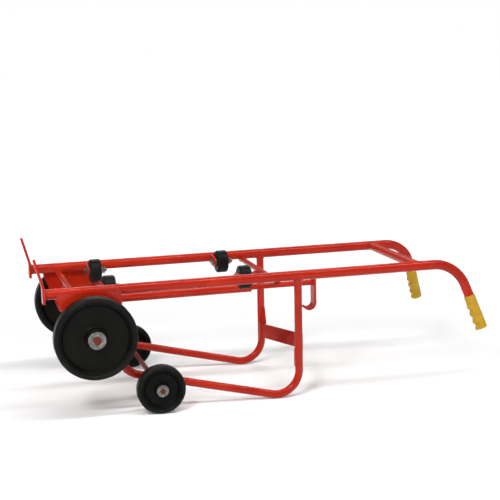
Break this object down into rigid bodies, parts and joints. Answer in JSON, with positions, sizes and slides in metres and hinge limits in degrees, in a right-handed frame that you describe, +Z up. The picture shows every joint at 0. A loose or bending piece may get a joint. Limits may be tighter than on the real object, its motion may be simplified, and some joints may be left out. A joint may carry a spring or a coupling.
{
  "type": "drum dolly",
  "caption": "Wheeled cradle for a steel drum: two rails with bent handles and toe prongs, roller cradle, sliding chime hook, main and small wheels, and side frames to stand on.",
  "frame": {"origin": "on the floor, under the middle of the length and width", "axes": "+X from the toe prongs towards the handles, +Y to the right of a user who stands at the handles and faces the toe, +Z up, as it rests on its small wheels and side frames"},
  "size_m": [1.4892, 0.648, 0.4863],
  "materials": {
    "frame_paint": "gloss powder coat",
    "hook_paint": "gloss powder coat",
    "axle_paint": "satin",
    "grip_vinyl": "satin vinyl",
    "tyre_rubber": "matt",
    "roller_rubber": "matt",
    "wheel_plastic": "satin",
    "zinc_steel": "zinc plated",
    "nylon": "satin",
    "bush_bronze": "sintered"
  },
  "bodies": {
    "frame": {"side_rail_left": "frame_paint", "side_rail_right": "frame_paint", "toe_prong_left": "frame_paint", "toe_prong_right": "frame_paint", "axle_bracket_left": "frame_paint", "axle_bracket_right": "frame_paint", "side_frame_left": "frame_paint", "side_frame_right": "frame_paint", "handle_cross_tube": "frame_paint", "grip_left": "grip_vinyl", "grip_right": "grip_vinyl", "foot_strap": "frame_paint", "foot_strap_gussets": "frame_paint", "cross_bar_front": "frame_paint", "cross_bar_rear": "frame_paint", "sleeve_hanger_front": "frame_paint", "sleeve_hanger_rear": "frame_paint", "roller_bracket_front_left": "frame_paint", "roller_bracket_front_right": "frame_paint", "roller_bracket_rear_left": "frame_paint", "roller_bracket_rear_right": "frame_paint", "roller_bolts": "zinc_steel", "roller_nuts": "zinc_steel", "roller_washers": "zinc_steel", "main_axle": "axle_paint", "main_axle_spacers": "zinc_steel", "main_axle_washers": "zinc_steel", "main_axle_rings": "zinc_steel", "small_axle": "axle_paint", "small_axle_spacers": "zinc_steel", "small_axle_washers": "zinc_steel", "small_axle_rings": "zinc_steel", "hook_sleeve": "frame_paint", "sleeve_mouth_bush": "nylon"},
    "main_wheel_left": {"main_tyre_left": "tyre_rubber", "main_wheel_left": "wheel_plastic", "main_bush_left": "bush_bronze"},
    "small_wheel_left": {"small_tyre_left": "tyre_rubber", "small_wheel_left": "wheel_plastic", "small_bush_left": "bush_bronze"},
    "main_wheel_right": {"main_tyre_right": "tyre_rubber", "main_wheel_right": "wheel_plastic", "main_bush_right": "bush_bronze"},
    "small_wheel_right": {"small_tyre_right": "tyre_rubber", "small_wheel_right": "wheel_plastic", "small_bush_right": "bush_bronze"},
    "roller_front_left": {"roller_front_left": "roller_rubber", "roller_bush_front_left": "nylon"},
    "roller_front_right": {"roller_front_right": "roller_rubber", "roller_bush_front_right": "nylon"},
    "roller_rear_left": {"roller_rear_left": "roller_rubber", "roller_bush_rear_left": "nylon"},
    "roller_rear_right": {"roller_rear_right": "roller_rubber", "roller_bush_rear_right": "nylon"},
    "hook_glide": {"rod_glide": "nylon"},
    "hook": {"hook_rod": "hook_paint", "chime_hook": "hook_paint", "rod_clips": "zinc_steel"}
  },
  "joints": [
    {"name": "main_wheel_left_spin", "type": "hinge", "parent": "frame", "child": "main_wheel_left", "pos_m": [-0.56704, -0.2815, 0.25044], "axis": [0, 1, 0], "continuous": true},
    {"name": "small_wheel_left_spin", "type": "hinge", "parent": "frame", "child": "small_wheel_left", "pos_m": [-0.36558, -0.276, 0.0762], "axis": [0, 1, 0], "continuous": true},
    {"name": "main_wheel_right_spin", "type": "hinge", "parent": "frame", "child": "main_wheel_right", "pos_m": [-0.56704, 0.2815, 0.25044], "axis": [0, 1, 0], "continuous": true},
    {"name": "small_wheel_right_spin", "type": "hinge", "parent": "frame", "child": "small_wheel_right", "pos_m": [-0.36558, 0.276, 0.0762], "axis": [0, 1, 0], "continuous": true},
    {"name": "roller_front_left_spin", "type": "hinge", "parent": "frame", "child": "roller_front_left", "pos_m": [-0.50392, -0.148, 0.37745], "axis": [0.9995, 0, 0.0308], "continuous": true},
    {"name": "roller_front_right_spin", "type": "hinge", "parent": "frame", "child": "roller_front_right", "pos_m": [-0.50392, 0.148, 0.37745], "axis": [0.9995, 0, 0.0308], "continuous": true},
    {"name": "roller_rear_left_spin", "type": "hinge", "parent": "frame", "child": "roller_rear_left", "pos_m": [-0.06613, -0.148, 0.39094], "axis": [0.9995, 0, 0.0308], "continuous": true},
    {"name": "roller_rear_right_spin", "type": "hinge", "parent": "frame", "child": "roller_rear_right", "pos_m": [-0.06613, 0.148, 0.39094], "axis": [0.9995, 0, 0.0308], "continuous": true},
    {"name": "hook_slide", "type": "slide", "parent": "frame", "child": "hook_glide", "axis": [0.9995, 0, 0.0308], "range_m": [-0.13, 0.055]},
    {"name": "hook_turn", "type": "hinge", "parent": "hook_glide", "child": "hook", "pos_m": [-0.00809, 0, 0.32569], "axis": [0.9995, 0, 0.0308], "continuous": true}
  ]
}
